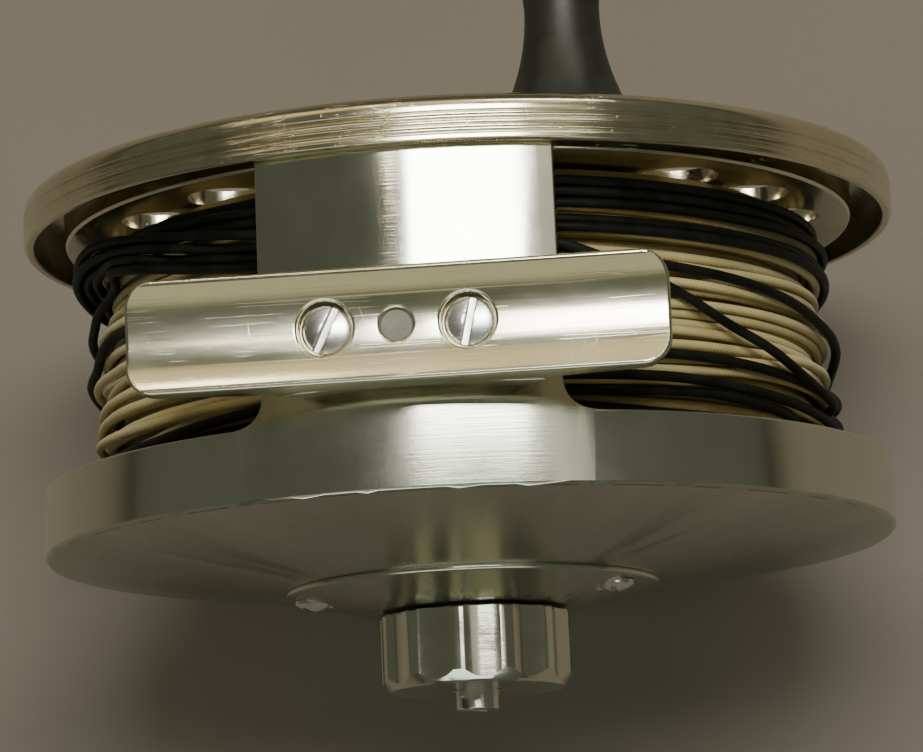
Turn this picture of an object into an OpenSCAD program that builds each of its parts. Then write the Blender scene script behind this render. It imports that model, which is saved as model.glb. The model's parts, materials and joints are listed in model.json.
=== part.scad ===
// Large fly reel with a draw-bar disc drag, all sizes in millimetres.
// A one-piece half frame carries the foot on a wide bridge. The spool turns on two ball
// bearings on the main shaft, and its palming rim hangs over the tip of the bridge.
// The drag knob threads on the back end of the shaft and draws the spool, the drag gear and
// its cork disc against the floor of the frame's cup.
// X runs along the foot, +Y along the spindle to the handle, +Z up out of the foot's seat.
// The origin is the middle of the seat. A station is a place along the spindle, as its Y.

/* [Foot] */
// Height of the foot's seat above the spindle
seat_height = 63.3; // [62.8:0.1:66]
// Length of the foot along the rod
foot_l = 62; // [56:1:68]
// Width of the foot
foot_w = 13.2; // [13:0.1:14]
// Thickness of the foot over its pedestal
foot_t = 4.8; // [4.4:0.1:5.4]
// Thickness of the foot at its two ends
foot_end_t = 2.3; // [1.8:0.1:3]
// Depth of the hollow along the foot's top
channel_depth = 1.25; // [0.8:0.05:1.3]
// Radius of the hollow along the foot's top
channel_r = 15.5; // [14:0.5:16]
// Distance between the two foot screws
foot_screw_gap = 16.3; // [15:0.1:19]

/* [Frame] */
// Outer radius of the frame's rim and of the bridge
frame_r = 53.7; // [53.5:0.1:53.8]
// Width of the bridge under the foot
bridge_w = 35; // [30:1:38]
// Width of the narrow pillar opposite the bridge
pillar_w = 13; // [10:1:16]
// Thickness of the bridge and of the pillar
bridge_t = 2.4; // [2:0.1:2.6]
// Radius of the blend where the bridge leaves the rim
bridge_blend = 3.5; // [2:0.5:5]
// Thickness of the cup's round wall
cup_wall = 2.5; // [2.2:0.1:2.8]

/* [Spool] */
// Outer radius of the palming rim
rim_r = 55.5; // [55.3:0.1:56.5]
// Radius of the line arbor
arbor_r = 28; // [27:0.5:31]
// Radius of the ports in the spool's flange
port_r = 5; // [4:0.1:5.4]
// Radius of the circle of ports
port_circle_r = 41.3; // [40.5:0.1:41.5]
// Angle from one port to the next
port_pitch = 20.5; // [20:0.1:20.5]
// Number of ports on each side of the handle
ports_a_side = 8; // [4:1:8]
// Radius over the wound braided line
line_pack_r = 44.8; // [38:0.1:45]
// Radius over the outermost wraps of the fly line
wrap_r = 46.4; // [46:0.1:47]

/* [Handle] */
// Radius of the circle that the handle stands on
handle_circle_r = 40.2; // [39:0.1:40.5]
// Angle of the handle from the foot
handle_angle = 26.6; // [0:0.1:60]
// Length of the handle grip
grip_l = 26.5; // [22:0.5:30]
// Radius of the grip at its foot
grip_foot_r = 8; // [7.5:0.1:8.1]
// Radius of the grip at its waist
grip_waist_r = 4.5; // [4.4:0.1:5]
// Radius of the grip near its free end
grip_end_r = 5.9; // [5.6:0.1:6.5]

/* [Drag] */
// Radius of the drag knob
knob_r = 12.1; // [11.8:0.1:13]
// Length of the drag knob
knob_l = 9.5; // [8.5:0.5:11]
// Number of flutes round the drag knob
flute_count = 12; // [9:1:12]
// Radius of the cover plate behind the dome
cover_r = 23.75; // [23.4:0.05:24.2]
// Number of teeth on the ratchet
ratchet_teeth = 24; // [24:12:24]
// Number of teeth on the click wheel
click_teeth = 72; // [72:12:72]
// Radius of the cork disc
cork_r = 46; // [42:0.5:47]

/* [Hidden] */
$fn = 96;
eps = 0.01;
run_gap = 0.05;

// stations of the frame
rim_front = -8.9;
rim_back = -17.7;
cup_floor = -15.2;
dome_back = -22.5;
bridge_tip = 24.4;
spring_floor = -18.2;
rim_bevel = 0.5;
cup_r = frame_r - cup_wall;
bridge_in_r = frame_r - bridge_t;
spring_bore_r = 8.4;
bridge_tip_round = 2;

// stations of the spool
flange_in = 22.4;
flange_out = 24.4;
rim_low = 22.3;
rim_top = 28.2;
channel_roof = 26.3;
rear_flange_out = -11;
rear_flange_in = -9.4;
rim_wall = 1.35;
channel_in_r = 50.3;
channel_wall = 1.5;
rear_flange_r = 50.4;
arbor_t = 2;
hub_r = 12.5;
rear_web = -6.6;
front_web = 19.6;
web_t = 2;
rim_round = 1.7;
web_hole_r = 1.9;
web_hole_circle = 19.3;
web_holes = 12;

// grooves round the palming rim: station, half width, depth
deep_groove = [0.3, 0.38];
fine_groove = [0.2, 0.16];
groove_low = 23.4;
groove_pitch = 0.76;

// main shaft and its two 8 x 19 x 6 ball bearings
shaft_r = 4;
thread_r = 2.95;
bearing_r = 9.5;
bearing_w = 6;
rear_bearing = -6.4;
front_bearing = 13.6;
race_in_r = 5.6;
race_out_r = 7.9;
ball_r = 1.75;
ball_circle = (race_in_r + race_out_r) / 2;
groove_r = ball_r + run_gap;
ball_count = 8;
hub_bore_r = 8.6;
collar_r = 5.4;
nut_r = 8.2;
nut_front = 24.2;
shaft_nose_r = 3;
shaft_nose_end = 22.4;

// drag stack
cork_t = 2.2;
cork_in_r = 26;
gear_back = cup_floor + cork_t;
gear_front = -11.4;
gear_r = 47.5;
gear_bush_r = 5.4;
gear_bore_r = shaft_r + run_gap;
ring_in_r = 9.5;
ratchet_r = 15.5;
ratchet_depth = 1.6;
ratchet_front = -8;
click_r = 14;
click_depth = 0.8;
click_back = -14.8;

// drive pawls in the spool's rear recess
pawl_circle = 20;
pawl_pin_r = 1.2;
pawl_eye_r = 2.6;
pawl_back = -10.7;
pawl_front = -7;
pawl_face = -30;
pawl_wire = 0.4;

// click pawl on the cup's floor
click_pawl_circle = 20.4;
click_pawl_angle = 200;
click_pin_r = 0.9;

// knob, thrust washer and springs
knob_front = -25.9;
knob_back = knob_front - knob_l;
stud_r = 2.8;
stud_end = knob_back - 2.5;
stud_slot_turn = -29;
stud_slot_depth = 1.6;
insert_r = 4.7;
washer_front = -22.75;
washer_t = 0.8;
washer_r = 7.6;
flute_r = 7.7;
flute_depth = 0.65;
knob_web = 1.2;
knob_chamfer_l = 1.5;
knob_end_r = 11.25;
flute_phase = 11.5;
spring_count = 4;
spring_t = 0.7;
spring_rise = 1.05;

// cover plate: edge, shoulder and boss of its cone
cover_edge = -23.2;
shoulder_r = 17;
shoulder_back = -24.5;
boss_r = 12.9;
boss_back = -25.5;
cover_screw_circle = 20.2;
cover_screw_angles = [-78, 68, 175];
cover_screw_seat = -23.5;
cover_head_r = 2.3;
cover_head_t = 1.35;
cover_head_dome = 3.5;
cover_slot_depth = 0.45;

// foot and its screws
foot_half = foot_l / 2;
foot_corner_r = 3.3;
pedestal_l = 31;
pedestal_w = 10.8;
head_r = 2.8;
head_t = 1.7;
head_dome = 9;
counterbore_r = 3.15;
counterbore_floor = -3.6;
screw_r = 1.5;
dowel_r = 1.86;
slot_w = 0.9;
slot_depth = 0.8;
slot_turns = [64, 77];

// handle
post_r = 2.4;
grip_low = 25.3;
grip_top = grip_low + grip_l;
post_head_r = 3.5;
post_head_t = 1.6;
head_recess = 2.6;
weight_r = 6.2;

// ---- frames of reference -------------------------------------------------------------

// Places children drawn along local Z on the spindle, with the foot towards local -Y.
module on_spindle() translate([0, 0, -seat_height]) rotate([-90, 0, 0]) children();

// Moves children out to a radius, at an angle from the foot that grows towards +X.
module around(angle, radius) rotate([0, 0, angle - 90]) translate([radius, 0, 0]) children();

// A plain round bar or disc between two stations.
module disc(radius, from, to) translate([0, 0, from]) cylinder(r = radius, h = to - from);

// A ring between two stations.
module ring(outer, inner, from, to) difference() {
    disc(outer, from, to);
    disc(inner, from - 1, to + 1);
}

// A straight slot across a screw head whose top is at z = 0.
module slot(length, width, depth) {
    translate([-length / 2, -width / 2, -depth]) cube([length, width, depth + 1]);
}

function polar(radius, angle) = [radius * cos(angle), radius * sin(angle)];

// ---- frame ---------------------------------------------------------------------------

frame_outline = [
    [0, dome_back], [cover_r + 0.4, dome_back],
    [frame_r - rim_bevel, rim_back], [frame_r, rim_back + rim_bevel],
    [frame_r, rim_front - 0.3], [frame_r - 0.3, rim_front], [cup_r, rim_front],
    [cup_r, cup_floor], [0, cup_floor]];

// Plan of a bridge seen along the spindle's radius: a strip with blends at its root.
module bridge_plan(width) {
    difference() {
        translate([-width / 2, rim_front - 3]) square([width, bridge_tip - rim_front + 3]);
        for (side = [-1, 1]) translate([side * width / 2, bridge_tip]) difference() {
            square(2 * bridge_tip_round, center = true);
            translate([-side * bridge_tip_round, -bridge_tip_round]) circle(r = bridge_tip_round);
        }
    }
    for (side = [-1, 1]) translate([side * (width / 2 + bridge_blend), rim_front + bridge_blend])
        difference() {
            translate([min(0, -side * bridge_blend), -bridge_blend - 1])
                square([bridge_blend, bridge_blend + 1]);
            circle(r = bridge_blend);
        }
}

// Bends a plan into the round wall between the bridge's inner and outer radius.
module bridge(width, towards_foot) intersection() {
    ring(frame_r, bridge_in_r, rim_front - 2, bridge_tip + 1);
    rotate([0, 0, towards_foot ? 0 : 180]) rotate([90, 0, 0])
        linear_extrude(height = frame_r + 5) bridge_plan(width);
}

// Block between the bridge and the foot, with its lower face on the bridge's inner radius.
module pedestal() difference() {
    translate([-pedestal_l / 2, -(seat_height - foot_t), -pedestal_w / 2])
        cube([pedestal_l, seat_height - foot_t - bridge_in_r + 6, pedestal_w]);
    cylinder(r = bridge_in_r + 0.4, h = foot_w * 2, center = true);
}

module frame() color([0.70, 0.70, 0.64]) on_spindle() difference() {
    union() {
        rotate_extrude($fn = 180) polygon(frame_outline);
        bridge(bridge_w, true);
        bridge(pillar_w, false);
        pedestal();
    }
    disc(6, spring_floor - 1, cup_floor + 1);
    disc(spring_bore_r, dome_back - 1, spring_floor);
    for (angle = cover_screw_angles) around(angle, cover_screw_circle)
        disc(screw_r, dome_back - 1, dome_back + 5.5);
    around(click_pawl_angle, click_pawl_circle) disc(click_pin_r, cup_floor - 2.2, cup_floor + 1);
    translate([-1, -6.6, spring_floor - 1]) cube([2, 2, cup_floor - spring_floor + 2]);
    for (side = [-1, 1]) translate([side * foot_screw_gap / 2, 0, 0]) rotate([90, 0, 0])
        disc(screw_r, bridge_in_r + 1.5, seat_height);
    rotate([90, 0, 0]) disc(dowel_r, seat_height - foot_t - 2.4, seat_height);
}

// ---- foot ----------------------------------------------------------------------------

// Rectangle with round corners, centred.
module rounded_plate(length, width, corner) {
    square([length, width - 2 * corner], center = true);
    square([length - 2 * corner, width], center = true);
    for (sx = [-1, 1]) for (sy = [-1, 1])
        translate([sx * (length / 2 - corner), sy * (width / 2 - corner)]) circle(r = corner);
}

module foot_side() polygon([
    [-foot_half, 0], [-foot_half, -foot_end_t], [-pedestal_l / 2 - 1, -foot_t],
    [pedestal_l / 2 + 1, -foot_t], [foot_half, -foot_end_t], [foot_half, 0]]);

module reel_foot() color([0.80, 0.76, 0.66]) difference() {
    intersection() {
        translate([0, foot_w, 0]) rotate([90, 0, 0]) linear_extrude(height = 2 * foot_w) foot_side();
        translate([0, 0, -foot_t - 1])
            linear_extrude(height = foot_t + 2) rounded_plate(foot_l, foot_w, foot_corner_r);
    }
    translate([-foot_l, 0, channel_r - channel_depth])
        rotate([0, 90, 0]) cylinder(r = channel_r, h = 2 * foot_l);
    for (side = [-1, 1]) translate([side * foot_screw_gap / 2, 0, 0]) {
        disc(counterbore_r, counterbore_floor, 1);
        disc(screw_r, -foot_t - 1, 0);
    }
    disc(dowel_r, -foot_t - 1, 1);
}

module foot_screws() color([0.72, 0.72, 0.70])
    for (i = [0, 1]) translate([(i - 0.5) * foot_screw_gap, 0, 0]) difference() {
        union() {
            intersection() {
                disc(head_r, counterbore_floor, counterbore_floor + head_t);
                translate([0, 0, counterbore_floor + head_t - head_dome]) sphere(r = head_dome);
            }
            disc(screw_r, -(seat_height - bridge_in_r - 1.6), counterbore_floor);
        }
        translate([0, 0, counterbore_floor + head_t]) rotate([0, 0, slot_turns[i]])
            slot(2 * head_r + 1, slot_w, slot_depth);
    }

module foot_dowel() color([0.45, 0.47, 0.40]) disc(dowel_r, -foot_t - 2.3, -channel_depth - 0.6);

// ---- back cover and drag knob --------------------------------------------------------

cover_outline = [
    [0, dome_back], [cover_r, dome_back], [cover_r, cover_edge + 0.2], [cover_r - 0.2, cover_edge],
    [shoulder_r, shoulder_back], [boss_r, boss_back], [0, boss_back]];

module drag_cover() color([0.66, 0.66, 0.60]) on_spindle() difference() {
    rotate_extrude($fn = 180) polygon(cover_outline);
    disc(insert_r + 0.4, boss_back - 1, dome_back + 1);
    disc(spring_bore_r, boss_back + 1, dome_back + 1);
    for (angle = cover_screw_angles) around(angle, cover_screw_circle) {
        disc(screw_r, boss_back, dome_back + 1);
        disc(cover_head_r + 0.15, boss_back - 1, cover_screw_seat);
    }
}

module cover_screws() color([0.75, 0.75, 0.72]) on_spindle()
    for (i = [0 : 2]) around(cover_screw_angles[i], cover_screw_circle) difference() {
        union() {
            disc(screw_r, cover_screw_seat, dome_back + 5);
            intersection() {
                disc(cover_head_r, cover_screw_seat - cover_head_t, cover_screw_seat);
                translate([0, 0, cover_screw_seat - cover_head_t + cover_head_dome])
                    sphere(r = cover_head_dome);
            }
        }
        translate([0, 0, cover_screw_seat - cover_head_t]) mirror([0, 0, 1])
            rotate([0, 0, 35 + 70 * i]) slot(6, 0.7, cover_slot_depth);
    }

module drag_knob() color([0.72, 0.71, 0.62]) on_spindle() difference() {
    rotate_extrude($fn = 180) polygon([
        [insert_r, knob_front], [knob_r - 0.25, knob_front], [knob_r, knob_front - 0.25],
        [knob_r, knob_back + knob_chamfer_l], [knob_end_r, knob_back + 0.3],
        [knob_end_r - 0.3, knob_back],
        [thread_r + 0.15, knob_back], [thread_r + 0.15, knob_back + knob_web],
        [insert_r, knob_back + knob_web]]);
    for (i = [0 : flute_count - 1])
        around(flute_phase + i * 360 / flute_count, knob_r - flute_depth + flute_r)
            disc(flute_r, knob_back - 1, knob_front + 1);
    around(0, 8.2) disc(1.05, knob_front - 4.5, knob_front + 1);
    around(180, 8.2) disc(1.05, knob_front - 4.5, knob_front + 1);
}

module knob_insert() color([0.72, 0.58, 0.32]) on_spindle()
    ring(insert_r, thread_r + run_gap, knob_back + knob_web, washer_front - washer_t);

// A ball on a stack of spring turns, in each of the knob's two blind holes.
module knob_detent() color([0.8, 0.8, 0.8]) on_spindle() for (angle = [0, 180]) around(angle, 8.2) {
    translate([0, 0, knob_front - 1.1]) sphere(r = 1);
    for (turn = [0 : 3]) translate([0, 0, knob_front - 2.4 - 0.5 * turn])
        rotate_extrude($fn = 24) translate([0.72, 0]) circle(r = 0.2, $fn = 16);
}

module thrust_washer() color([0.78, 0.66, 0.38]) on_spindle()
    ring(washer_r, thread_r + 0.3, washer_front - washer_t, washer_front);

// Disc springs stacked in opposite pairs.
module drag_springs() color([0.6, 0.6, 0.62]) on_spindle() for (i = [0 : spring_count - 1])
    translate([0, 0, spring_floor - (i + (i % 2)) * spring_rise])
        mirror([0, 0, (i + 1) % 2]) rotate_extrude($fn = 64) polygon([
            [shaft_r + 0.3, 0], [shaft_r + 0.3, spring_t],
            [washer_r, spring_rise], [washer_r, spring_rise - spring_t]]);

// Slotted screw that stops the knob at the end of the shaft.
module knob_stop() color([0.72, 0.71, 0.66]) on_spindle() difference() {
    union() {
        disc(stud_r, stud_end, knob_back + 0.35);
        disc(1.5, knob_back, knob_back + 6);
    }
    around(stud_slot_turn, 0) translate([-stud_r - 1, -0.5, stud_end - 1])
        cube([2 * stud_r + 2, 1, 1 + stud_slot_depth]);
}

// ---- shaft and bearings --------------------------------------------------------------

shaft_key_box = [2, 2.4, 2.4];

module key_shape() translate([-1, -5.4, spring_floor + 0.3]) cube(shaft_key_box);

module main_shaft() color([0.62, 0.63, 0.65]) on_spindle() difference() {
    union() {
        disc(thread_r, knob_back + 0.35, washer_front + 0.4);
        disc(shaft_r, washer_front + 0.4, front_bearing + bearing_w);
        disc(collar_r, rear_bearing - 2.2, rear_bearing);
        disc(shaft_nose_r, front_bearing + bearing_w, shaft_nose_end);
    }
    disc(1.5, knob_back, knob_back + 6);
    key_shape();
}

module shaft_key() color([0.5, 0.5, 0.52]) on_spindle() key_shape();

module shaft_bushing() color([0.74, 0.58, 0.30]) on_spindle() difference() {
    union() {
        disc(6, spring_floor, cup_floor);
        disc(8, cup_floor, cup_floor + 0.6);
    }
    disc(shaft_r + run_gap, spring_floor - 1, cup_floor + 2);
    key_shape();
}

// One race of a ball bearing whose back face is at a station.
module race(outer, inner, station) difference() {
    ring(outer, inner, station, station + bearing_w);
    translate([0, 0, station + bearing_w / 2])
        rotate_extrude() translate([ball_circle, 0]) circle(r = groove_r, $fn = 48);
}

module inner_races() color([0.78, 0.79, 0.8]) on_spindle()
    for (station = [rear_bearing, front_bearing]) race(race_in_r, shaft_r, station);

module outer_races() color([0.78, 0.79, 0.8]) on_spindle()
    for (station = [rear_bearing, front_bearing]) race(bearing_r, race_out_r, station);

module bearing_balls() color([0.85, 0.86, 0.88]) on_spindle()
    for (station = [rear_bearing, front_bearing]) for (i = [0 : ball_count - 1])
        around(i * 360 / ball_count, ball_circle)
            translate([0, 0, station + bearing_w / 2]) sphere(r = ball_r, $fn = 32);

module bearing_spacer() color([0.7, 0.7, 0.72]) on_spindle()
    ring(collar_r, shaft_r, rear_bearing + bearing_w, front_bearing);

module bearing_cap() color([0.3, 0.3, 0.31]) on_spindle()
    ring(bearing_r, 6, front_bearing + bearing_w, front_bearing + bearing_w + 0.8);

// Slotted cap nut that holds the spool on the shaft.
module spool_nut() color([0.74, 0.74, 0.70]) on_spindle() difference() {
    union() {
        disc(race_in_r, front_bearing + bearing_w, front_bearing + bearing_w + 1.2);
        translate([0, 0, front_bearing + bearing_w + 1.2]) rotate_extrude() polygon([
            [0, 0], [nut_r, 0], [nut_r, 2.4], [nut_r - 0.8, 3.4], [0, 3.4]]);
    }
    disc(shaft_nose_r, front_bearing, shaft_nose_end);
    translate([0, 0, nut_front]) slot(2 * nut_r + 1, 1.8, 1.2);
}

// ---- drag gear and clicks ------------------------------------------------------------

// Saw-toothed outline: each tooth has one radial face and one long slope.
function saw_points(teeth, tip, root) = [for (i = [0 : teeth - 1]) for (k = [0, 1])
    polar(k == 0 ? tip : root, i * 360 / teeth)];

// Outline with a plain V between neighbouring tips.
function vee_points(teeth, tip, root) = [for (i = [0 : 2 * teeth - 1])
    polar(i % 2 == 0 ? root : tip, i * 180 / teeth)];

module drag_gear() color([0.70, 0.70, 0.72]) on_spindle() difference() {
    union() {
        disc(gear_r, gear_back, gear_front);
        translate([0, 0, gear_front]) linear_extrude(height = ratchet_front - gear_front)
            polygon(saw_points(ratchet_teeth, ratchet_r, ratchet_r - ratchet_depth));
        translate([0, 0, click_back]) linear_extrude(height = gear_back - click_back)
            polygon(vee_points(click_teeth, click_r, click_r - click_depth));
    }
    disc(gear_bush_r, click_back - 1, ratchet_front + 1);
    disc(ring_in_r, gear_front, ratchet_front + 1);
    disc(ring_in_r, click_back - 1, gear_back);
}

module gear_bushing() color([0.74, 0.58, 0.30]) on_spindle()
    ring(gear_bush_r, gear_bore_r, click_back + 0.3, rear_bearing - 2.4);

module cork_disc() color([0.66, 0.46, 0.28]) on_spindle()
    ring(cork_r, cork_in_r, cup_floor, gear_back);

// A point at a radius from the spindle, in the frame of a pawl whose pivot is the origin.
function from_spindle(radius, angle) = polar(radius, angle) - [pawl_circle, 0];

// Arm of a drive pawl, from its eye back to the gap beside a ratchet face.
drive_arm = [
    from_spindle(ratchet_r - 1.15, pawl_face + 2.2), from_spindle(ratchet_r - 0.65, pawl_face + 6.5),
    from_spindle(ratchet_r + 0.6, pawl_face + 14), [-1.8, -1.2], [1.2, -2],
    from_spindle(ratchet_r + 1.5, pawl_face + 1.8)];

// Flat lever between two stations: an arm, and an eye that turns on a pin.
module lever(arm, eye, pin, from, to) difference() {
    union() {
        disc(eye, from, to);
        translate([0, 0, from]) linear_extrude(height = to - from) polygon(arm);
    }
    disc(pin + run_gap, from - 1, to + 1);
}

module drive_pawl(angle) on_spindle() around(angle, pawl_circle)
    lever(drive_arm, pawl_eye_r, pawl_pin_r, pawl_back, pawl_front);

module pawl_a() color([0.55, 0.55, 0.58]) drive_pawl(90);
module pawl_b() color([0.55, 0.55, 0.58]) drive_pawl(270);

module pawl_pins() color([0.8, 0.8, 0.8]) on_spindle() for (angle = [90, 270])
    around(angle, pawl_circle) disc(pawl_pin_r, rear_flange_out + 0.1, rear_web + 1.4);

// Square wire spring in front of each pawl: one turn round the pin and a straight leg.
module pawl_springs() color([0.6, 0.6, 0.62]) on_spindle() for (angle = [90, 270])
    around(angle, pawl_circle) {
        ring(pawl_pin_r + 0.1 + pawl_wire, pawl_pin_r + 0.1, pawl_front, pawl_front + pawl_wire);
        translate([pawl_pin_r + 0.1, 0, pawl_front]) cube([pawl_wire, 5, pawl_wire]);
    }

// Arm of the click pawl, with a vee nose that points at the click wheel.
click_arm = [[-1.2, -1.45], [-5.2, -0.6], [-6.65, 0], [-5.2, 0.6], [-1.2, 1.45]];

module click_pawl() color([0.7, 0.62, 0.4]) on_spindle() around(click_pawl_angle, click_pawl_circle)
    lever(click_arm, 1.9, click_pin_r, cup_floor + 0.3, cup_floor + 1.8);

module click_pin() color([0.8, 0.8, 0.8]) on_spindle() around(click_pawl_angle, click_pawl_circle)
    disc(click_pin_r, cup_floor - 2.2, gear_back - 0.3);

// Square wire spring that centres the click pawl: a loop behind it and two legs.
module click_spring() color([0.6, 0.6, 0.62]) on_spindle()
    around(click_pawl_angle, click_pawl_circle) {
        translate([3.4, 0, 0]) ring(1.2, 0.8, cup_floor + 0.3, cup_floor + 0.7);
        for (side = [-1, 1]) translate([2.05, side * 1 - 0.2, cup_floor + 0.3]) cube([1, 0.4, 0.4]);
    }

// ---- spool ---------------------------------------------------------------------------

// Three outline points of a V groove cut into the palming rim, going up the rim.
function groove_points(station, groove) = [
    [rim_r, station - groove[0]], [rim_r - groove[1], station], [rim_r, station + groove[0]]];

// Points along the rounded front edge of the palming rim.
edge_round_points = [for (a = [0 : 15 : 90])
    [rim_r - rim_round + rim_round * cos(a), rim_top - rim_round + rim_round * sin(a)]];

rim_outline = concat(
    [[rim_r - rim_wall, rim_low + 0.2], [rim_r - rim_wall + 0.2, rim_low],
        [rim_r - 0.35, rim_low], [rim_r, rim_low + 0.35]],
    groove_points(groove_low, fine_groove), groove_points(groove_low + groove_pitch, deep_groove),
    groove_points(groove_low + 2 * groove_pitch, fine_groove),
    groove_points(groove_low + 3 * groove_pitch, deep_groove),
    edge_round_points,
    [[channel_in_r - channel_wall + 0.5, rim_top], [channel_in_r - channel_wall, rim_top - 0.5],
        [channel_in_r - channel_wall, flange_out], [arbor_r - arbor_t, flange_out],
        [arbor_r - arbor_t, front_web + web_t], [bearing_r, front_web + web_t], [bearing_r, 8],
        [hub_r, 8], [hub_r, front_web], [arbor_r - arbor_t, front_web], [arbor_r - arbor_t, 8],
        [arbor_r, 8], [arbor_r, flange_in], [channel_in_r - 0.3, flange_in],
        [channel_in_r, flange_in + 0.3], [channel_in_r, channel_roof],
        [rim_r - rim_wall, channel_roof]]);

rear_outline = [
    [arbor_r, 8 + eps], [arbor_r, rear_flange_in], [rear_flange_r, rear_flange_in],
    [rear_flange_r, rear_flange_out], [arbor_r - arbor_t, rear_flange_out],
    [arbor_r - arbor_t, rear_web], [bearing_r, rear_web], [bearing_r, 8 + eps],
    [hub_r, 8 + eps], [hub_r, rear_web + web_t], [arbor_r - arbor_t, rear_web + web_t],
    [arbor_r - arbor_t, 8 + eps]];

module spool() color([0.80, 0.76, 0.66]) on_spindle() difference() {
    union() {
        rotate_extrude($fn = 180) polygon(rim_outline);
        rotate_extrude($fn = 180) polygon(rear_outline);
        ring(bearing_r + 0.5, hub_bore_r, rear_bearing + bearing_w, front_bearing);
    }
    for (side = [-1, 1]) for (i = [1 : ports_a_side])
        around(handle_angle + side * i * port_pitch, port_circle_r)
            disc(port_r, flange_in - 1, flange_out + 1);
    for (i = [0 : web_holes - 1]) around(handle_angle + i * 360 / web_holes, web_hole_circle)
        disc(web_hole_r, front_web - 1, front_web + web_t + 1);
    around(handle_angle, handle_circle_r) disc(2, flange_in - 1, flange_out + 1);
    around(handle_angle + 180, handle_circle_r) disc(screw_r, flange_in - 1, flange_out + 1);
    for (angle = [90, 270]) around(angle, pawl_circle)
        disc(pawl_pin_r, rear_web - 1, rear_web + 1.4);
}

module counterweight() color([0.72, 0.70, 0.62]) on_spindle()
    around(handle_angle + 180, handle_circle_r) difference() {
        translate([0, 0, flange_out]) rotate_extrude() polygon([
            [screw_r, 0], [weight_r, 0], [weight_r, 2.8], [weight_r - 0.6, 3.4], [screw_r, 3.4]]);
        disc(2.9, flange_out + 1.8, flange_out + 4);
    }

module counterweight_screw() color([0.72, 0.72, 0.70]) on_spindle()
    around(handle_angle + 180, handle_circle_r) difference() {
        union() {
            disc(screw_r, flange_in + 0.2, flange_out + 1.8);
            disc(2.8, flange_out + 1.8, flange_out + 3.2);
        }
        translate([0, 0, flange_out + 3.2]) slot(7, 0.8, 0.7);
    }

// ---- handle --------------------------------------------------------------------------

module handle_post() color([0.74, 0.74, 0.72]) on_spindle() around(handle_angle, handle_circle_r)
    difference() {
        union() {
            disc(2, flange_in + 0.1, flange_out);
            disc(post_r, flange_out, grip_top - head_recess);
            disc(post_head_r, grip_top - head_recess, grip_top - head_recess + post_head_t);
        }
        translate([0, 0, grip_top - head_recess + post_head_t]) slot(8, 0.9, 0.8);
    }

module handle_washer() color([0.72, 0.72, 0.70]) on_spindle()
    around(handle_angle, handle_circle_r) ring(5.6, post_r, flange_out, grip_low - 0.1);

// Share of the grip's length at which it is thinnest, and at which its round end begins.
grip_waist = 0.62;
grip_shoulder = 0.95;
grip_flare = 5.2;

// Radius of the grip along its length, from 0 at its foot to 1 at its free end.
function grip_radius(t) = t < grip_waist
    ? min(grip_foot_r, grip_waist_r + grip_flare * pow(1 - t / grip_waist, 2))
    : grip_waist_r + (grip_end_r - grip_waist_r)
        * (1 - cos(180 * (t - grip_waist) / (grip_shoulder - grip_waist))) / 2;

grip_steps = 24;
grip_side = [for (i = [0 : grip_steps]) let (t = grip_shoulder * i / grip_steps)
    [grip_radius(t), grip_low + 0.4 + (grip_l - 0.4) * t]];
grip_outline = concat(
    [[post_r + run_gap, grip_low], [grip_foot_r - 0.4, grip_low]], grip_side,
    [[grip_end_r - 0.35, grip_top - 0.35], [grip_end_r - 1.2, grip_top], [4, grip_top],
        [4, grip_top - head_recess - 0.1], [post_r + run_gap, grip_top - head_recess - 0.1]]);

module handle_grip() color([0.05, 0.05, 0.05]) on_spindle()
    around(handle_angle, handle_circle_r) rotate_extrude($fn = 72) polygon(grip_outline);

// ---- wound line ----------------------------------------------------------------------

backing_r = line_pack_r - 2.6;

module line_backing() color([0.70, 0.63, 0.45]) on_spindle()
    ring(backing_r, arbor_r, rear_flange_in + 0.2, flange_in - 0.4);

module running_line() color([0.72, 0.66, 0.48]) on_spindle()
    ring(line_pack_r, backing_r, rear_flange_in + 0.4, flange_in - 1.6);

// Bands of fly line lying over the braided line: first and last station of each.
wrap_bands = [[-8.6, -3.2], [-0.4, 3.6], [7.4, 20.6]];

module fly_line() color([0.06, 0.07, 0.06]) on_spindle()
    for (band = wrap_bands) ring(wrap_r, line_pack_r, band[0], band[1]);

frame();
reel_foot();
foot_screws();
foot_dowel();
drag_cover();
cover_screws();
main_shaft();
shaft_key();
shaft_bushing();
inner_races();
bearing_spacer();
spool_nut();
drag_springs();
knob_stop();
click_pin();
click_spring();
click_pawl();
thrust_washer();
drag_knob();
knob_insert();
knob_detent();
drag_gear();
gear_bushing();
cork_disc();
spool();
outer_races();
bearing_balls();
bearing_cap();
counterweight();
counterweight_screw();
handle_post();
handle_washer();
handle_grip();
pawl_pins();
pawl_springs();
pawl_a();
pawl_b();
line_backing();
running_line();
fly_line();
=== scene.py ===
"""Looks of a large fly reel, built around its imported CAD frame.

Finishes, metal with rounded edges, wound line, a floor, soft lights and a camera. Lengths of line and
edges are in millimetres, and everything else is in metres. An angle is counted from the foot
towards +X about the spindle, and a station is a place along the spindle.
"""

import json
import math

import bmesh
import bpy
import numpy as np
from mathutils import Matrix, Vector


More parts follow.
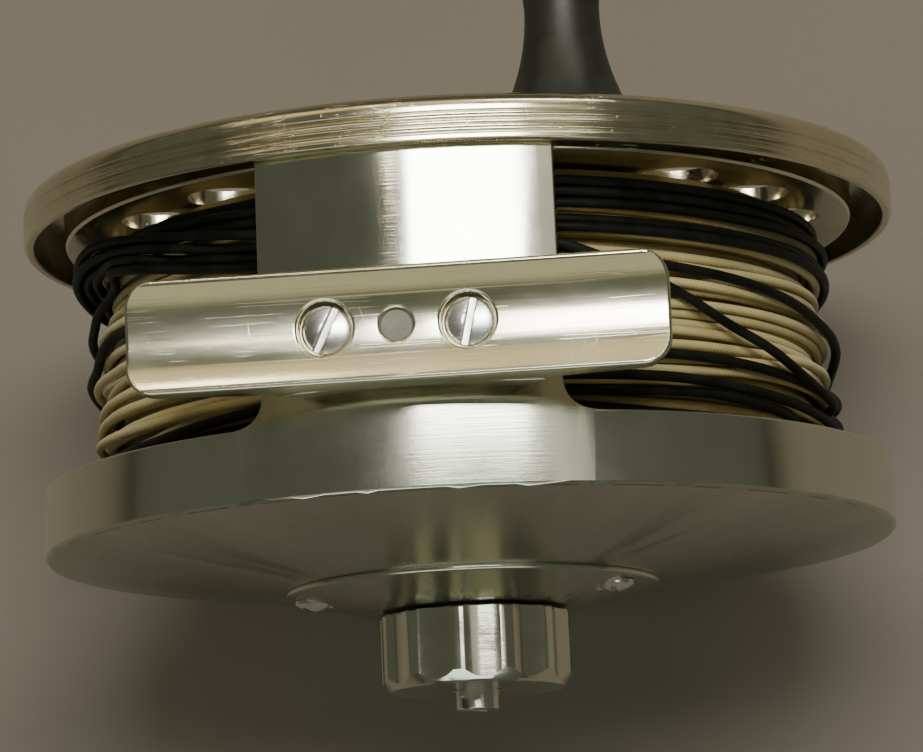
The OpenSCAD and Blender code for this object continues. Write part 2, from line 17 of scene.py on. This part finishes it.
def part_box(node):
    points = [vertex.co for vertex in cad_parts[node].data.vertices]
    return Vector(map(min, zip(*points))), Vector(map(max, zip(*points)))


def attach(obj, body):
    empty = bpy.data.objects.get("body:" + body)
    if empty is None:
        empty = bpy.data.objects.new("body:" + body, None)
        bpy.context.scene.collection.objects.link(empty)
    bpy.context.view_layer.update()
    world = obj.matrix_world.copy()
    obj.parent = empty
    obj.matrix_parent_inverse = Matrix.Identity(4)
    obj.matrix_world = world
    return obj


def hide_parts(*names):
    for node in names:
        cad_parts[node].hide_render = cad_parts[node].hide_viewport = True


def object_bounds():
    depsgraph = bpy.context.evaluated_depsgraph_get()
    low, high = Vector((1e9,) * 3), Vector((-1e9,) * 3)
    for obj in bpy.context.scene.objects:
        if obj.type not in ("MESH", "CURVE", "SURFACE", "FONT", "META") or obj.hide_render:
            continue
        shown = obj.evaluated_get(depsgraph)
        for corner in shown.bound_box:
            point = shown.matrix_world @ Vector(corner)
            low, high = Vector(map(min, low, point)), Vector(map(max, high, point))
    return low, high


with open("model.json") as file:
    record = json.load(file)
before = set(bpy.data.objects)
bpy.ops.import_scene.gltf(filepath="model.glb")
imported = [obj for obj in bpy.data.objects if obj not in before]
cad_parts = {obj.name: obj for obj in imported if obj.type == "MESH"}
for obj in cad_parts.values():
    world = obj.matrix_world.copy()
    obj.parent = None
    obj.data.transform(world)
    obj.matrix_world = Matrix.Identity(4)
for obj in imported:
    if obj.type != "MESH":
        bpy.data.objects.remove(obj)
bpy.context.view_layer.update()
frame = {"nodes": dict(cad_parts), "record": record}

MM = 0.001
BEHAVIOUR = frame["record"]["behaviour"]
SLOT_OF = {part["node"]: part["material_slot"] for part in frame["record"]["subparts"]}
BODY_OF = {node: body for body, nodes in BEHAVIOUR["bodies"].items() for node in nodes}


def middle(node):
    """Centre of a CAD node's box."""
    low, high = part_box(node)
    return (low + high) / 2


# The spindle runs along Y at this height.
SPINDLE_Z = middle("bearing_spacer").z


# ---- camera --------------------------------------------------------------------------

def add_camera():
    """Looks down on the foot from the knob's side, with a slight roll and a long lens."""
    place = Vector((0.0603, -0.0863, 0.4376))
    turn, drop, roll = math.radians(6.9), math.radians(10.242), math.radians(-2.43)
    back = Vector((math.sin(turn) * math.cos(drop), -math.sin(drop), math.cos(turn) * math.cos(drop)))
    level = Vector((0, 1, 0)).cross(back).normalized()
    upright = back.cross(level)
    right = level * math.cos(roll) + upright * math.sin(roll)
    up = upright * math.cos(roll) - level * math.sin(roll)
    data = bpy.data.cameras.new("camera")
    data.lens = 156.6
    data.sensor_width = 36
    data.clip_start, data.clip_end = 0.01, 20
    camera = bpy.data.objects.new("camera", data)
    camera.matrix_world = Matrix.Translation(place) @ Matrix((right, up, back)).transposed().to_4x4()
    bpy.context.scene.collection.objects.link(camera)
    bpy.context.scene.camera = camera


add_camera()


# ---- shader helpers ------------------------------------------------------------------

class Shader:
    """A node material with short calls for the patterns that the finishes share."""

    def __init__(self, name, **constants):
        self.material = bpy.data.materials.new(name)
        self.material.use_nodes = True
        self.tree = self.material.node_tree
        self.surface = self.tree.nodes["Principled BSDF"]
        for socket, value in constants.items():
            self.surface.inputs[socket.replace("_", " ")].default_value = value
        self.coordinates = self.add("ShaderNodeTexCoord").outputs
        self.place = self.coordinates["Object"]

    def add(self, kind, links=(), **settings):
        """A new node, with its settings and with what goes into its sockets."""
        node = self.tree.nodes.new(kind)
        for name, value in settings.items():
            setattr(node, name, value)
        for socket, value in dict(links).items():
            self.feed(node.inputs[socket], value)
        return node

    def feed(self, socket, value):
        """Links another node's output to the socket, or sets the socket to a constant."""
        if isinstance(value, bpy.types.NodeSocket):
            self.tree.links.new(value, socket)
        else:
            socket.default_value = value

    def math(self, operation, *values):
        node = self.add("ShaderNodeMath", operation=operation)
        for socket, value in zip(node.inputs, values):
            self.feed(socket, value)
        return node.outputs[0]

    def scaled(self, x, y, z):
        """The place stretched by its own factor along each axis."""
        links = {0: self.place, 1: (x, y, z)}
        return self.add("ShaderNodeVectorMath", links, operation="MULTIPLY").outputs[0]

    def turned(self, across, along, around):
        """Coordinates of turned metal: radius, station, and a slow one round the spindle."""
        x, y, z = self.add("ShaderNodeSeparateXYZ", {0: self.place}).outputs
        height = self.math("SUBTRACT", z, SPINDLE_Z)
        squares = self.math("ADD", self.math("POWER", x, 2.0), self.math("POWER", height, 2.0))
        radius = self.math("SQRT", squares)
        angle = self.math("ARCTAN2", x, height)
        links = {
            0: self.math("MULTIPLY", radius, across),
            1: self.math("MULTIPLY", y, along),
            2: self.math("MULTIPLY", angle, around),
        }
        return self.add("ShaderNodeCombineXYZ", links).outputs[0]

    def noise(self, place, scale, detail=3.0, rough=0.55):
        links = {"Vector": place, "Scale": scale, "Detail": detail, "Roughness": rough}
        return self.add("ShaderNodeTexNoise", links).outputs["Fac"]

    def span(self, value, low, high, to_low=0.0, to_high=1.0):
        """The value moved from one span to another, and held inside it."""
        links = {"Value": value, "From Min": low, "From Max": high, "To Min": to_low, "To Max": to_high}
        return self.add("ShaderNodeMapRange", links, clamp=True).outputs["Result"]

    def mix(self, share, first, second):
        node = self.add("ShaderNodeMix", data_type="RGBA")
        self.feed(node.inputs["Factor"], share)
        self.feed(node.inputs["A"], first)
        self.feed(node.inputs["B"], second)
        return node.outputs["Result"]

    def bump(self, height, depth, strength, under=None):
        links = {"Height": height, "Distance": depth, "Strength": strength}
        if under is not None:
            links["Normal"] = under
        return self.add("ShaderNodeBump", links).outputs["Normal"]

    def scratches(self, place, sparse):
        """Fine lines where a stretched noise crosses its middle, thinned out by a second noise."""
        line = self.math("ABSOLUTE", self.math("SUBTRACT", self.noise(place, 1.0, 1.0), 0.5))
        keep = self.span(self.noise(self.place, 140.0, 1.0), sparse, sparse + 0.06)
        return self.math("MULTIPLY", self.span(line, 0.0, 0.012, 1.0, 0.0), keep)

    def finish(self, colour, roughness, normal):
        """Joins the patterns to the surface. One that is None keeps its constant."""
        for socket, value in (("Base Color", colour), ("Roughness", roughness), ("Normal", normal)):
            if value is not None:
                self.feed(self.surface.inputs[socket], value)
        return self.material


def rgb(red, green, blue):
    """An opaque colour."""
    return (red, green, blue, 1.0)


# ---- finishes ------------------------------------------------------------------------

def worn_edges(shader, low, high):
    """From 0 on flat metal to 1 on its rounded edges."""
    return shader.span(shader.add("ShaderNodeNewGeometry").outputs["Pointiness"], low, high)


def satin_frame():
    """Bead-dulled aluminium with a greenish cast, turned under the blasting."""
    look = Shader("satin_frame", Metallic=1.0)
    grain = look.noise(look.place, 5200.0, 2.0, 0.6)
    lathe = look.noise(look.turned(900.0, 4200.0, 6.0), 1.0, 2.0)
    smudge = look.noise(look.place, 95.0, 4.0, 0.6)
    colour = look.mix(look.span(smudge, 0.35, 0.7), rgb(0.61, 0.62, 0.51), rgb(0.69, 0.695, 0.58))
    # The dome at the back is duller than the turned rim, and its colour is darkened there as painted shade;
    # the bridge is the smoothest.
    _, station, _ = look.add("ShaderNodeSeparateXYZ", {0: look.place}).outputs
    _, facing, _ = look.add("ShaderNodeSeparateXYZ", {0: look.coordinates["Normal"]}).outputs
    dome_dullness_and_shade = look.span(facing, -0.75, -0.6, 1.0, 0.0)
    bridge = look.span(station, -9.0 * MM, -7.0 * MM)
    # Painted shade: the dome's colour is mixed towards a dark olive.
    colour = look.mix(look.math("MULTIPLY", dome_dullness_and_shade, 0.75), colour, rgb(0.30, 0.31, 0.23))
    colour = look.mix(look.math("MULTIPLY", worn_edges(look, 0.53, 0.6), 0.6), colour, rgb(0.83, 0.82, 0.71))
    rough = look.span(smudge, 0.3, 0.7, 0.14, 0.18)
    rough = look.math("ADD", rough, look.span(grain, 0.3, 0.7, -0.01, 0.03))
    rough = look.math("ADD", rough, look.math("MULTIPLY", dome_dullness_and_shade, 0.08))
    rough = look.math("SUBTRACT", rough, look.math("MULTIPLY", bridge, 0.06))
    normal = look.bump(lathe, 0.000008, 0.6)
    normal = look.bump(grain, 0.000003, 0.4, normal)
    return look.finish(colour, rough, normal)


def polished_foot():
    """Drawn and polished aluminium, champagne, with fine lines and scratches along it."""
    look = Shader("polished_foot", Metallic=1.0)
    drawn = look.noise(look.scaled(30.0, 5200.0, 5200.0), 1.0, 2.0)
    fog = look.noise(look.scaled(60.0, 190.0, 190.0), 1.0, 4.0, 0.6)
    long_lines = look.scratches(look.scaled(14.0, 900.0, 900.0), 0.5)
    cross_lines = look.scratches(look.scaled(380.0, 60.0, 380.0), 0.6)
    marks = look.math("MAXIMUM", long_lines, cross_lines)
    colour = look.mix(look.span(fog, 0.3, 0.7), rgb(0.72, 0.69, 0.51), rgb(0.79, 0.76, 0.59))
    colour = look.mix(look.math("MULTIPLY", marks, 0.2), colour, rgb(0.93, 0.91, 0.85))
    rough = look.math("ADD", look.span(fog, 0.3, 0.7, 0.13, 0.2), look.math("MULTIPLY", marks, 0.07))
    normal = look.bump(drawn, 0.000005, 0.45)
    normal = look.bump(marks, 0.000006, 0.5, normal)
    return look.finish(colour, rough, normal)


def turned_metal(name, colours, rough, pitch, nicks=0.0):
    """Turned and polished metal: rings left by the tool, fog, and small bright nicks."""
    look = Shader(name, Metallic=1.0)
    lathe = look.noise(look.turned(pitch, pitch, 1.5), 1.0, 2.0, 0.6)
    fog = look.noise(look.place, 160.0, 4.0, 0.6)
    colour = look.mix(look.span(fog, 0.3, 0.7), rgb(*colours[0]), rgb(*colours[1]))
    edges = look.math("MULTIPLY", worn_edges(look, 0.53, 0.62), 0.7)
    colour = look.mix(edges, colour, rgb(*[min(1.0, c * 1.15) for c in colours[1]]))
    roughness = look.math("ADD", look.span(fog, 0.3, 0.7, *rough), look.span(lathe, 0.3, 0.7, -0.015, 0.03))
    normal = look.bump(lathe, 0.000006, 0.5)
    if nicks:
        spots = look.noise(look.scaled(700.0, 1500.0, 700.0), 1.0, 3.0, 0.7)
        pits = look.span(spots, 0.70 - nicks, 0.76 - nicks)
        marks = look.scratches(look.turned(700.0, 2600.0, 9.0), 0.54)
        normal = look.bump(look.math("MAXIMUM", pits, marks), 0.00002, 0.7, normal)
        roughness = look.math("ADD", roughness, look.math("MULTIPLY", pits, 0.2))
    return look.finish(colour, roughness, normal)


def dull_metal(name, colours, rough, metallic=1.0):
    """Dull or oiled metal with a cloudy patina."""
    look = Shader(name, Metallic=metallic)
    cloud = look.noise(look.place, 420.0, 5.0, 0.65)
    fine = look.noise(look.place, 2600.0, 2.0)
    colour = look.mix(look.span(cloud, 0.35, 0.65), rgb(*colours[0]), rgb(*colours[1]))
    roughness = look.math("ADD", look.span(cloud, 0.3, 0.7, *rough), look.span(fine, 0.3, 0.7, -0.03, 0.04))
    return look.finish(colour, roughness, look.bump(fine, 0.00002, 0.5))


def cork():
    """Pressed cork: pale cells with dark grains between them."""
    look = Shader("cork")
    cells = look.add("ShaderNodeTexVoronoi", {"Vector": look.place, "Scale": 900.0}).outputs["Color"]
    grains = look.noise(look.place, 700.0, 4.0, 0.7)
    shade = look.add("ShaderNodeSeparateColor", {0: cells}).outputs["Red"]
    colour = look.mix(shade, rgb(0.34, 0.18, 0.08), rgb(0.56, 0.36, 0.19))
    colour = look.mix(look.span(grains, 0.6, 0.7), colour, rgb(0.12, 0.06, 0.03))
    return look.finish(colour, look.span(grains, 0.3, 0.7, 0.6, 0.85), look.bump(grains, 0.0001, 0.6))


def black_plastic(name, rough):
    """Black moulding or hard anodising with a soft sheen and faint rubbed patches."""
    look = Shader(name, Specular_IOR_Level=0.34)
    rubbed = look.noise(look.place, 130.0, 4.0, 0.6)
    grain = look.noise(look.place, 4200.0, 2.0, 0.6)
    colour = look.mix(look.span(rubbed, 0.4, 0.75), rgb(0.011, 0.012, 0.009), rgb(0.028, 0.029, 0.02))
    roughness = look.span(rubbed, 0.3, 0.7, *rough)
    roughness = look.math("ADD", roughness, look.span(grain, 0.3, 0.7, -0.03, 0.04))
    return look.finish(colour, roughness, look.bump(grain, 0.00001, 0.6))


def braid_line():
    """Tan round braid: two families of strands cross at a slant, along the tube's own UVs."""
    look = Shader("braid_line", Specular_IOR_Level=0.35, Sheen_Weight=0.15, Sheen_Roughness=0.5)
    tube = look.add("ShaderNodeUVMap").outputs["UV"]
    along, around, _ = look.add("ShaderNodeSeparateXYZ", {0: tube}).outputs
    carriers, slant = 8.0, 6.0
    families = []
    for lean in (slant, -slant):
        phase = look.math("ADD", look.math("MULTIPLY", around, carriers), look.math("MULTIPLY", along, lean))
        families.append(look.math("ABSOLUTE", look.math("SINE", look.math("MULTIPLY", phase, math.pi))))
    weave = look.math("MULTIPLY", *families)
    stain = look.noise(look.place, 75.0, 4.0, 0.65)
    streak = look.noise(look.scaled(160.0, 900.0, 160.0), 1.0, 2.0)
    colour = look.mix(look.span(stain, 0.35, 0.7), rgb(0.46, 0.38, 0.15), rgb(0.61, 0.515, 0.235))
    colour = look.mix(look.span(streak, 0.52, 0.72, 0.0, 0.4), colour, rgb(0.36, 0.285, 0.13))
    # Painted shade: the valleys between the strands are painted darker.
    colour = look.mix(look.span(weave, 0.0, 0.45, 0.42, 0.0), colour, rgb(0.22, 0.175, 0.08))
    return look.finish(colour, look.span(weave, 0.0, 1.0, 0.62, 0.42), look.bump(weave, 0.00006, 0.9))


def black_line():
    """Black coated fly line with a waxy surface."""
    look = Shader("black_line", Specular_IOR_Level=0.16)
    wax = look.noise(look.place, 260.0, 4.0, 0.6)
    skin = look.noise(look.place, 3000.0, 2.0)
    colour = look.mix(look.span(wax, 0.4, 0.75), rgb(0.003, 0.0035, 0.0025), rgb(0.009, 0.01, 0.007))
    return look.finish(colour, look.span(wax, 0.3, 0.7, 0.42, 0.55), look.bump(skin, 0.00002, 0.5))


# Each metal has the colours of its darker and its lighter patches.
CHAMPAGNE = ((0.66, 0.60, 0.43), (0.76, 0.70, 0.53))
GREENISH = ((0.62, 0.62, 0.49), (0.72, 0.72, 0.60))
WARM_STEEL = ((0.70, 0.69, 0.62), (0.78, 0.77, 0.71))
STEEL = ((0.62, 0.62, 0.60), (0.74, 0.74, 0.71))
BRIGHT_STEEL = ((0.70, 0.71, 0.73), (0.8, 0.81, 0.83))
DARK_STEEL = ((0.36, 0.36, 0.38), (0.5, 0.5, 0.52))
BRONZE = ((0.55, 0.39, 0.17), (0.68, 0.51, 0.25))
DARK_GREEN = ((0.09, 0.10, 0.075), (0.16, 0.175, 0.13))

FINISHES = {
    "satin_frame": satin_frame(),
    "polished_foot": polished_foot(),
    "polished_spool": turned_metal("polished_spool", CHAMPAGNE, (0.12, 0.2), 3600.0, nicks=0.02),
    "polished_knob": turned_metal("polished_knob", GREENISH, (0.1, 0.17), 4200.0),
    "polished_trim": turned_metal("polished_trim", WARM_STEEL, (0.14, 0.22), 4200.0),
    "stainless": turned_metal("stainless", STEEL, (0.18, 0.27), 5200.0),
    "bearing_steel": turned_metal("bearing_steel", BRIGHT_STEEL, (0.06, 0.12), 5200.0),
    "spring_steel": dull_metal("spring_steel", DARK_STEEL, (0.28, 0.4)),
    "bronze": dull_metal("bronze", BRONZE, (0.28, 0.42)),
    "dull_dowel": dull_metal("dull_dowel", DARK_GREEN, (0.45, 0.6), metallic=0.3),
    "cork": cork(),
    "black_seal": black_plastic("black_seal", (0.5, 0.65)),
    "black_grip": black_plastic("black_grip", (0.36, 0.5)),
    "braid_line": braid_line(),
    "black_line": black_line(),
}

for node, thing in frame["nodes"].items():
    thing.data.materials.clear()
    thing.data.materials.append(FINISHES[SLOT_OF[node]])


# ---- metal with rounded edges --------------------------------------------------------

def add_piece(name, mesh, node, smooth_below):
    """Makes the mesh a piece that stands for a CAD node and takes its body, slot and finish."""
    mesh.materials.clear()
    mesh.materials.append(FINISHES[SLOT_OF[node]])
    mesh.shade_smooth()
    mesh.set_sharp_from_angle(angle=math.radians(smooth_below))
    piece = bpy.data.objects.new(name, mesh)
    bpy.context.scene.collection.objects.link(piece)
    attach(piece, BODY_OF[node])
    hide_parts(node)
    return piece


# Limits for cleaning up a CAD mesh.
BROAD_FACE = 12 * MM**2
SHALLOWEST_CREASE = math.radians(6)
FLATNESS = math.radians(0.3)
WELD = 0.001 * MM


def crease(mesh):
    """Keeps shallow edges between broad faces sharp, so that a cone and a flat shade as they are."""
    shape = bmesh.new()
    shape.from_mesh(mesh)
    for edge in shape.edges:
        broad = edge.is_manifold and min(face.calc_area() for face in edge.link_faces) > BROAD_FACE
        if broad and edge.calc_face_angle() > SHALLOWEST_CREASE:
            edge.smooth = False
    shape.to_mesh(mesh)
    shape.free()


def rounded(node, radius, sharper_than=28, wanted=lambda edge: True, smooth_below=30):
    """A CAD node rebuilt with clean flats and rounded edges. Its angles are in degrees."""
    shape = bmesh.new()
    shape.from_mesh(frame["nodes"][node].data)
    bmesh.ops.remove_doubles(shape, verts=shape.verts, dist=WELD)
    bmesh.ops.dissolve_limit(shape, angle_limit=FLATNESS, verts=shape.verts, edges=shape.edges)
    limit = math.radians(sharper_than)
    edges = [
        edge for edge in shape.edges
        if edge.is_manifold and edge.calc_face_angle(0) > limit and wanted(edge)]
    bmesh.ops.bevel(
        shape, geom=edges, offset=radius, segments=3, profile=0.5, affect="EDGES", clamp_overlap=False)
    mesh = bpy.data.meshes.new(node + "_rounded")
    shape.to_mesh(mesh)
    shape.free()
    piece = add_piece(node + "_rounded", mesh, node, smooth_below)
    crease(mesh)
    piece.modifiers.new("even_flats", "WEIGHTED_NORMAL").keep_sharp = True
    return piece


# The frame's bridges start at about this station, past its rim.
RIM_EDGE = -8.3 * MM


def on_bridge(edge):
    """True for the frame's edges along its bridges and pedestal, clear of the rim."""
    return min(corner.co.y for corner in edge.verts) > RIM_EDGE


rounded("frame", 0.15 * MM, 60, on_bridge)
rounded("reel_foot", 0.4 * MM, 60)
rounded("drag_knob", 0.12 * MM, 60, smooth_below=14)
EDGE_RADII = {
    "foot_screws": 0.12,
    "foot_dowel": 0.1,
    "drag_cover": 0.1,
    "knob_stop": 0.12,
    "spool": 0.1,
    "spool_nut": 0.12,
    "counterweight": 0.2,
    "counterweight_screw": 0.1,
    "handle_grip": 0.2,
    "handle_post": 0.15,
    "handle_washer": 0.1,
}
for node, edge_radius in EDGE_RADII.items():
    rounded(node, edge_radius * MM)


# ---- wound line ----------------------------------------------------------------------

class Winding:
    """Lays strands on the spool one on another. Keeps the height of the pile by angle and station.

    STEP is the width of a cell along the spindle, in millimetres. The others are in degrees: SIDE is
    laid at a time, the newest LAG of it isn't part of the pile yet, and PAD of it overlaps the next.
    """

    STEP = 0.1
    SIDE = 180
    LAG = 90
    PAD = 24

    def __init__(self, low, high, core):
        self.stations = np.arange(low - 1, high + 1, self.STEP)
        self.height = np.full((360, len(self.stations)), core)

    def _reach(self, angle, station, radius):
        """Column and cells that a strand of this radius covers, and its rise over each of them."""
        near = np.abs(self.stations - station) < radius
        rise = np.sqrt(radius**2 - (self.stations[near] - station) ** 2)
        return int(angle) % 360, near, rise

    def _needed(self, angle, station, radius):
        column, near, rise = self._reach(angle, station, radius)
        return (self.height[column, near] + rise).max()

    def _add(self, angle, station, radius, centre):
        column, near, rise = self._reach(angle, station, radius)
        self.height[column, near] = np.maximum(self.height[column, near], centre + rise)

    def lay(self, angles, stations, radius, width=9):
        """Distance of the strand's centre from the spindle, a value a degree. It rests on the pile."""
        count = len(angles)
        centres = np.zeros(count)
        window = np.hanning(2 * width + 1)
        window /= window.sum()
        added = 0
        for start in range(0, count, self.SIDE):
            for i in range(added, max(added, start - self.LAG)):
                self._add(angles[i], stations[i], radius, centres[i])
            added = max(added, start - self.LAG)
            span = np.clip(np.arange(start - self.PAD, start + self.SIDE + self.PAD), 0, count - 1)
            need = np.array([self._needed(angles[i], stations[i], radius) for i in span])
            crest = np.array([need[max(0, i - width):i + width + 1].max() for i in range(len(need))])
            smooth = np.convolve(crest, window, "same")[self.PAD:-self.PAD]
            part = centres[start:start + self.SIDE]
            part[:] = smooth[:len(part)]
        for i in range(added, count):
            self._add(angles[i], stations[i], radius, centres[i])
        return centres


def eased(values, width):
    """Values with their corners rounded over a window, and both ends kept."""
    window = np.hanning(2 * width + 1)
    padded = np.concatenate([np.full(width, values[0]), values, np.full(width, values[-1])])
    return np.convolve(padded, window / window.sum(), "valid")


def strand_mesh(shape, uv, angles, stations, centres, radius, sides, step):
    """Adds a strand to the shape: a tube of rings. Its UVs count turns of its own girth."""
    rings = []
    lengths = []
    travelled = 0.0
    last = None
    for i in range(0, len(angles), step):
        turn = math.radians(angles[i])
        out = Vector((math.sin(turn), 0, math.cos(turn)))
        point = Vector((0, stations[i] * MM, SPINDLE_Z)) + out * (centres[i] * MM)
        travelled += (point - last).length if last else 0.0
        last = point
        ring = []
        for side in range(sides):
            bend = 2 * math.pi * side / sides
            away = out * math.cos(bend) + Vector((0, math.sin(bend), 0))
            ring.append(shape.verts.new(point + away * radius * MM))
        rings.append(ring)
        lengths.append(travelled / (2 * math.pi * radius * MM))
    for at in range(len(rings) - 1):
        here, there = rings[at], rings[at + 1]
        for side in range(sides):
            beside = (side + 1) % sides
            face = shape.faces.new((here[side], here[beside], there[beside], there[side]))
            corners = ((at, side), (at, side + 1), (at + 1, side + 1), (at + 1, side))
            for loop, (ring_at, side_at) in zip(face.loops, corners):
                loop[uv].uv = (lengths[ring_at], side_at / sides)
    shape.faces.new(list(reversed(rings[0])))
    shape.faces.new(rings[-1])


def line_piece(name, node, strands, radius, sides, step):
    """All strands of one line as one piece."""
    shape = bmesh.new()
    uv = shape.loops.layers.uv.new("UVMap")
    for angles, stations, centres in strands:
        strand_mesh(shape, uv, angles, stations, centres, radius, sides, step)
    bmesh.ops.recalc_face_normals(shape, faces=shape.faces)
    mesh = bpy.data.meshes.new(name)
    shape.to_mesh(mesh)
    shape.free()
    return add_piece(name, mesh, node, 60)


# Radii of the two lines, and the room between the spool's flanges.
BRAID_R = 0.57
FLY_R = 0.62
LINE_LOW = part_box("running_line")[0].y / MM + 0.1
LINE_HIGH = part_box("running_line")[1].y / MM + 0.1
CORE_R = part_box("line_backing")[1].x / MM

winding = Winding(LINE_LOW, LINE_HIGH, CORE_R)
wander = np.random.default_rng(7)


def helix(start_station, end_station, pitch, wobble, start_angle):
    """Angles and stations of turns that cross the spool, wandering a little to each side."""
    turns = abs(end_station - start_station) / pitch
    angles = np.arange(0, int(turns * 360)) + start_angle
    share = np.linspace(0, 1, len(angles))
    stations = start_station + (end_station - start_station) * share
    bends = np.arange(angles[0], angles[-1] + 60, 55)
    stray = np.interp(angles, bends, wander.uniform(-wobble, wobble, len(bends)))
    stations = stations + eased(stray, 25)
    return angles, np.clip(stations, LINE_LOW + BRAID_R, LINE_HIGH - BRAID_R)


def braid(start_station, end_station, pitch, wobble, start_angle):
    angles, stations = helix(start_station, end_station, pitch, wobble, start_angle)
    return angles, stations, winding.lay(angles, stations, BRAID_R)


# The braid crosses the whole spool twice, then piles up a little in the middle.
braid_strands = [
    braid(LINE_LOW + BRAID_R, LINE_HIGH - BRAID_R, 1.17, 0.05, 0),
    braid(LINE_HIGH - BRAID_R, LINE_LOW + BRAID_R, 1.24, 0.55, 200),
    braid(LINE_LOW + 2.0, LINE_LOW + 19.5, 2.2, 1.3, 120),
]

# Stations of the fly line at chosen angles from the foot, one row a turn.
WRAPS = [
    [(-150, -8.2), (-60, -8.3), (-25, -8.2), (20, -6.9), (45, -7.8), (90, -8.2)],
    [(-150, -8.0), (-60, -8.0), (-45, -7.8), (-25, -7.0), (20, -5.4), (45, -5.1), (90, -7.6)],
    [(-150, -6.6), (-90, -6.8), (-60, -7.0), (-45, -6.8), (-25, -5.8), (20, -4.0), (45, -3.8), (90, -6.4)],
    [(-150, -3.0), (-90, 5.0), (-60, 9.0), (-25, 5.0), (20, -0.6), (45, -1.0), (75, -2.3), (110, -2.0)],
    [(-150, 14.0), (-60, 20.2), (-25, 19.8), (20, 19.9), (45, 19.8), (90, 19.9)],
    [(-150, 19.2), (-60, 19.4), (-25, 18.7), (20, 18.6), (45, 18.5), (90, 18.6)],
    [(-150, 17.8), (-60, 18.2), (-25, 17.3), (20, 17.3), (45, 17.2), (90, 17.4)],
    [(-150, 15.0), (-90, 19.0), (-60, 20.0), (-25, 15.7), (20, 15.3), (45, 15.1), (90, 15.4)],
    [(-150, 12.0), (-90, 17.5), (-60, 18.6), (-25, 14.3), (20, 14.1), (45, 13.8), (90, 14.0)],
    [(-150, 8.0), (-90, 15.0), (-60, 17.4), (-25, 13.0), (20, 11.0), (39, 10.0), (49, 9.2),
     (63, 8.0), (85, 5.2), (105, 1.6)],
    [(-150, 2.0), (-110, 6.0), (-88, 12.0), (-60, 16.2), (-25, 11.7), (20, 12.4), (39, 7.0), (44, 5.2),
     (52, 2.6), (62, -1.1), (72, -3.4), (91, -4.3), (120, -5.0)],
]


def fly_line():
    """One long strand through all the wraps, with two loose bights that lift off the pile."""
    knots = [(angle + 360 * turn, station) for turn, row in enumerate(WRAPS) for angle, station in row]
    angles = np.arange(knots[0][0], knots[-1][0] + 1)
    stations = eased(np.interp(angles, *zip(*knots)), 9)
    centres = winding.lay(angles, stations, FLY_R, 7)
    last_turn = 360 * (len(WRAPS) - 1)
    bights = [(last_turn - 276, 16, 0.5), (last_turn - 88, 22, 1.2)]
    for angle, spread, lift in bights:
        away = np.clip(np.abs(angles - angle) / spread, 0, 1)
        centres = centres + lift * (1 + np.cos(np.pi * away)) / 2
    return angles, stations, centres


line_piece("running_line_wraps", "running_line", braid_strands, BRAID_R, sides=10, step=2)
line_piece("fly_line_wraps", "fly_line", [fly_line()], FLY_R, sides=14, step=2)


# ---- stage ---------------------------------------------------------------------------

def add_floor():
    """A wide pale floor just under the object."""
    look = Shader("pale_floor", Roughness=0.8, Specular_IOR_Level=0.2)
    cloud = look.noise(look.place, 3.0, 4.0)
    weave = look.noise(look.place, 900.0, 2.0)
    colour = look.mix(look.span(cloud, 0.3, 0.7), rgb(0.145, 0.13, 0.103), rgb(0.17, 0.152, 0.121))
    look.finish(colour, None, look.bump(weave, 0.0001, 0.3))
    reach = 3.0
    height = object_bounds()[0].z - 0.05 * MM
    corners = [(-reach, -reach), (reach, -reach), (reach, reach), (-reach, reach)]
    mesh = bpy.data.meshes.new("floor")
    mesh.from_pydata([(x, y, height) for x, y in corners], [], [(0, 1, 2, 3)])
    mesh.materials.append(look.material)
    floor = bpy.data.objects.new("floor", mesh)
    bpy.context.scene.collection.objects.link(floor)


PANEL_DISTANCE = 0.9


def add_panel(name, direction, size, radiance, colour):
    """A soft light panel that faces the reel. Its size is in shares of its distance."""
    aim = middle("frame")
    back = Vector(direction).normalized()
    across = Vector((0, 1, 0)).cross(back).normalized()
    data = bpy.data.lights.new(name, "AREA")
    data.shape = "RECTANGLE"
    data.size, data.size_y = size[0] * PANEL_DISTANCE, size[1] * PANEL_DISTANCE
    data.energy = radiance * math.pi * data.size * data.size_y
    data.color = colour
    light = bpy.data.objects.new(name, data)
    turn = Matrix((across, back.cross(across), back)).transposed().to_4x4()
    light.matrix_world = Matrix.Translation(aim + back * PANEL_DISTANCE) @ turn
    light.visible_camera = False
    bpy.context.scene.collection.objects.link(light)


def add_lights():
    """A window over the foot, dim coloured walls for the metal to reflect, and a faint room."""
    add_panel("window", (0.145, 0.265, 0.95), (0.49, 0.29), 22.0, (1.0, 0.99, 0.96))
    add_panel("low_window", (0.38, 0.76, 0.58), (0.42, 0.16), 7.0, (1.0, 0.93, 0.85))
    add_panel("copper_wall", (-0.1, 0.72, 0.69), (1.6, 0.42), 0.9, (1.0, 0.78, 0.46))
    add_panel("side_wall", (0.5, 0.21, 0.86), (0.24, 0.3), 0.6, (1.0, 0.98, 0.82))
    add_panel("front_wall", (0.0, -0.87, 0.5), (1.2, 0.4), 2.0, (0.9, 0.97, 1.0))
    add_panel("tan_wall", (0.0, -0.42, 0.9), (1.7, 0.32), 0.45, (1.0, 0.92, 0.6))
    add_panel("lamp_a", (-0.165, 0.27, 0.95), (0.03, 0.03), 22.0, (1.0, 0.86, 0.66))
    add_panel("lamp_b", (-0.2, 0.74, 0.64), (0.03, 0.03), 60.0, (1.0, 0.82, 0.6))
    world = bpy.data.worlds.new("room")
    world.use_nodes = True
    shade = world.node_tree.nodes["Background"]
    shade.inputs["Color"].default_value = rgb(0.95, 1.0, 0.76)
    shade.inputs["Strength"].default_value = 0.1
    bpy.context.scene.world = world


add_floor()
add_lights()
